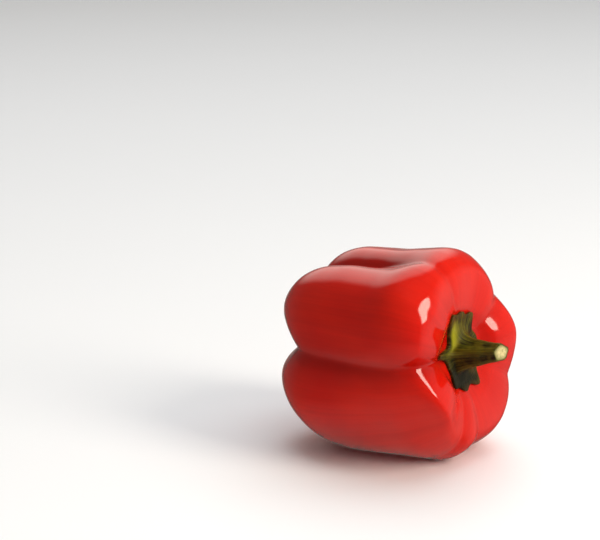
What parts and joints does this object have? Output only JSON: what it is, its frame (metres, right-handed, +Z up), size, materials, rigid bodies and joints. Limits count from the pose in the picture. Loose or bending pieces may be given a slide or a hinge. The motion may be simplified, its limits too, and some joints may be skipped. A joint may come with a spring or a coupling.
{
  "type": "bell pepper",
  "caption": "Whole blocky red bell pepper lying on its side, with deep creases between its lobes and a short green stalk with its calyx.",
  "frame": {"origin": "middle of the footprint of the whole pepper's box, on the surface that it lies on", "axes": "+Z up; +X along the pepper from the blossom end to the stalk, which is its longest extent; +Y to the far side"},
  "size_m": [0.1083, 0.0928, 0.0941],
  "materials": {
    "red_skin": null,
    "green_stalk": null
  },
  "bodies": {
    "root": {"fruit": "red_skin", "stalk": "green_stalk"}
  },
  "joints": []
}
